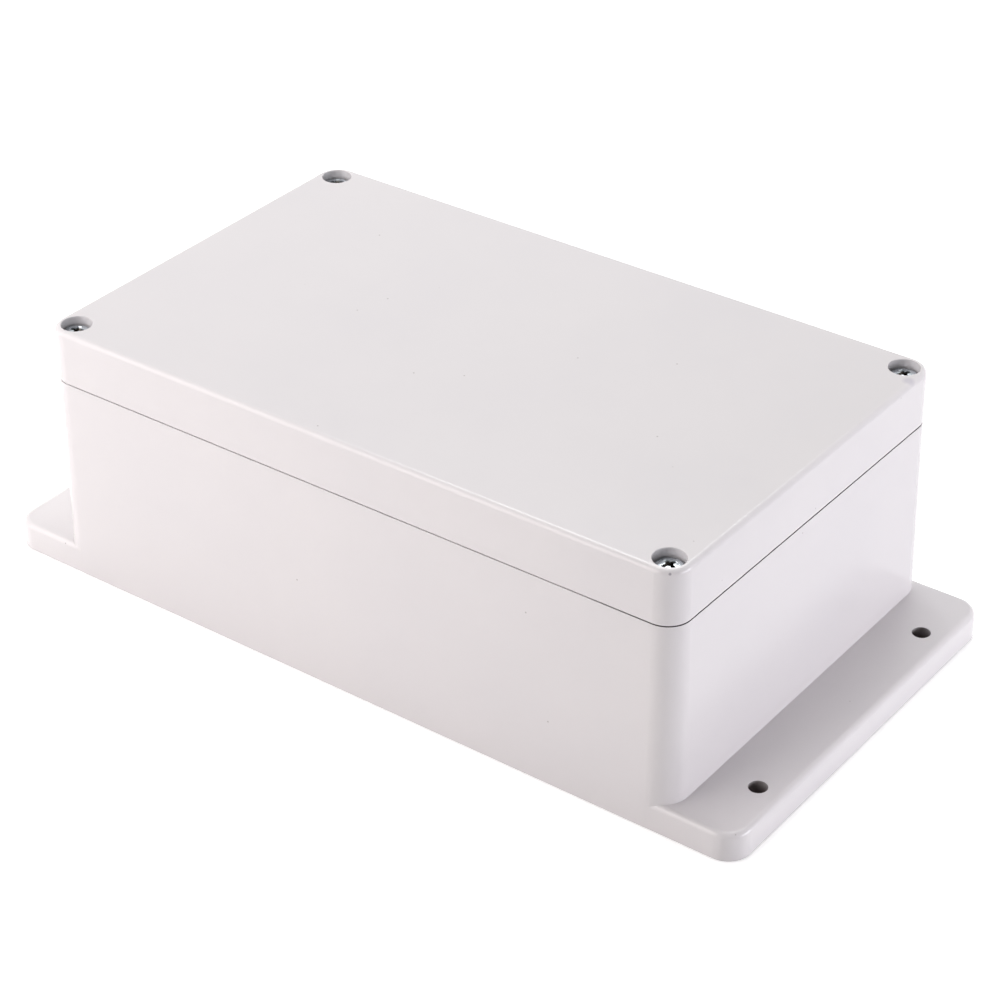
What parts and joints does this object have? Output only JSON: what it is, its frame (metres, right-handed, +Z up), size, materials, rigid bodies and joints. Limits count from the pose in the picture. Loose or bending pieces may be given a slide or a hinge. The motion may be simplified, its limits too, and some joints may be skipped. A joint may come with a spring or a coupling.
{
  "type": "plastic project box",
  "caption": "Light grey flanged plastic enclosure with a screwed-down sealed lid, corner screws in counterbores and a fixing ear at each end.",
  "frame": {"origin": "centre of the underside, on the surface that the box is fixed to", "axes": "+X along the length from ear to ear, +Y across the width, +Z up out of the lid"},
  "size_m": [0.2394, 0.122, 0.0755],
  "materials": {
    "case_plastic": "fine satin moulded ABS",
    "seal_rubber": "matt silicone sponge cord",
    "screw_zinc": "bright zinc plate",
    "insert_brass": "turned brass"
  },
  "bodies": {
    "case": {"base": "case_plastic", "insert_front_left": "insert_brass", "insert_front_right": "insert_brass", "insert_back_left": "insert_brass", "insert_back_right": "insert_brass"},
    "cover": {"lid": "case_plastic", "gasket": "seal_rubber"},
    "screw_front_left": {"lid_screw_front_left": "screw_zinc"},
    "screw_front_right": {"lid_screw_front_right": "screw_zinc"},
    "screw_back_left": {"lid_screw_back_left": "screw_zinc"},
    "screw_back_right": {"lid_screw_back_right": "screw_zinc"}
  },
  "joints": [
    {"name": "lid_lift", "type": "slide", "parent": "case", "child": "cover", "axis": [0, 0, 1], "range_m": [0, 0.08]},
    {"name": "screw_front_left_turn", "type": "hinge", "parent": "cover", "child": "screw_front_left", "pos_m": [-0.094, -0.054, 0.071], "axis": [0, 0, 1], "range_deg": [0, 4320]},
    {"name": "screw_front_right_turn", "type": "hinge", "parent": "cover", "child": "screw_front_right", "pos_m": [0.094, -0.054, 0.071], "axis": [0, 0, 1], "range_deg": [0, 4320]},
    {"name": "screw_back_left_turn", "type": "hinge", "parent": "cover", "child": "screw_back_left", "pos_m": [-0.094, 0.054, 0.071], "axis": [0, 0, 1], "range_deg": [0, 4320]},
    {"name": "screw_back_right_turn", "type": "hinge", "parent": "cover", "child": "screw_back_right", "pos_m": [0.094, 0.054, 0.071], "axis": [0, 0, 1], "range_deg": [0, 4320]}
  ]
}
